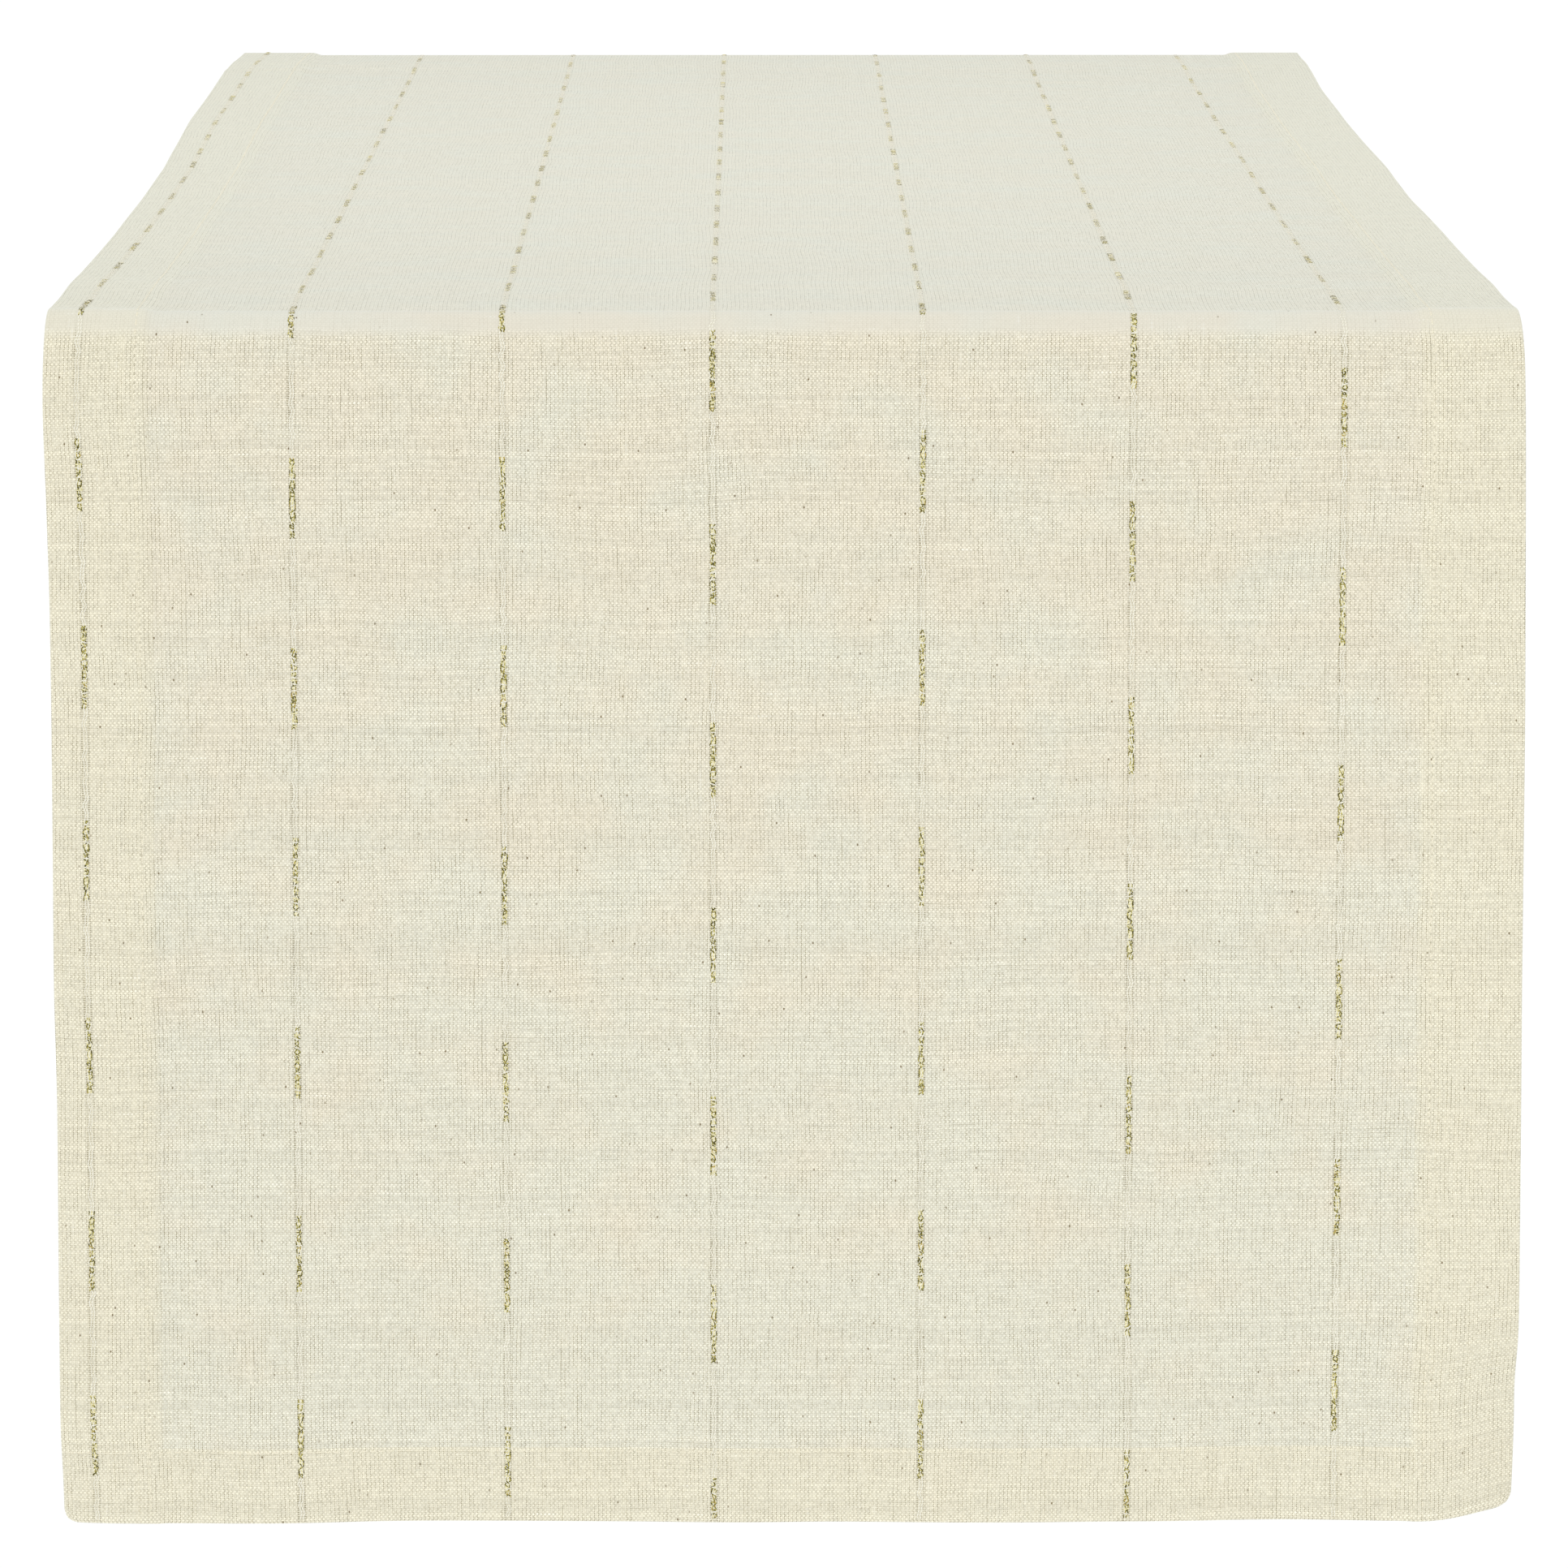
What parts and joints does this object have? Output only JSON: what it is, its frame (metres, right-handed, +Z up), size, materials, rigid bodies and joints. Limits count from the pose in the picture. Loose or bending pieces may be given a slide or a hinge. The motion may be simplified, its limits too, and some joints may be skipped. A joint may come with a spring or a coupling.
{
  "type": "table runner",
  "caption": "Long hemmed plain-weave cotton runner draped over a table, with both ends hanging and slim gold-flecked stripes running its length.",
  "frame": {"origin": "middle of the level panel's underside, where the runner rests on the table top", "axes": "+Z up; +Y towards the back of the table, along the runner; +X across the runner, to the right as the front hanging end is faced"},
  "size_m": [0.4572, 1.0706, 0.3847],
  "materials": {
    "cloth": "natural cream plain-weave cotton with slubs, matt",
    "hem": "the same cotton in three layers, pressed and slightly lighter",
    "thread": "cream sewing thread, soft sheen",
    "stripe_yarn": "metallic gold yarn between smooth white cotton ends"
  },
  "bodies": {
    "top": {"top_panel": "cloth", "top_hem_left": "hem", "top_hem_right": "hem", "top_stitch_left": "thread", "top_stitch_right": "thread", "top_stripe_1": "stripe_yarn", "top_stripe_2": "stripe_yarn", "top_stripe_3": "stripe_yarn", "top_stripe_4": "stripe_yarn", "top_stripe_5": "stripe_yarn", "top_stripe_6": "stripe_yarn", "top_stripe_7": "stripe_yarn"},
    "front_drop": {"front_fold": "cloth", "front_panel": "cloth", "front_hem_left": "hem", "front_hem_right": "hem", "front_hem_end": "hem", "front_stitch_left": "thread", "front_stitch_right": "thread", "front_stitch_end": "thread", "front_stripe_1": "stripe_yarn", "front_stripe_2": "stripe_yarn", "front_stripe_3": "stripe_yarn", "front_stripe_4": "stripe_yarn", "front_stripe_5": "stripe_yarn", "front_stripe_6": "stripe_yarn", "front_stripe_7": "stripe_yarn"},
    "back_drop": {"back_fold": "cloth", "back_panel": "cloth", "back_hem_left": "hem", "back_hem_right": "hem", "back_hem_end": "hem", "back_stitch_left": "thread", "back_stitch_right": "thread", "back_stitch_end": "thread", "back_stripe_1": "stripe_yarn", "back_stripe_2": "stripe_yarn", "back_stripe_3": "stripe_yarn", "back_stripe_4": "stripe_yarn", "back_stripe_5": "stripe_yarn", "back_stripe_6": "stripe_yarn", "back_stripe_7": "stripe_yarn"}
  },
  "joints": [
    {"name": "front_lift", "type": "hinge", "parent": "top", "child": "front_drop", "pos_m": [0, -0.53252, -0.00088], "axis": [-1, 0, 0], "range_deg": [0, 90]},
    {"name": "back_lift", "type": "hinge", "parent": "top", "child": "back_drop", "pos_m": [0, 0.53252, -0.00088], "axis": [1, 0, 0], "range_deg": [0, 90]}
  ]
}
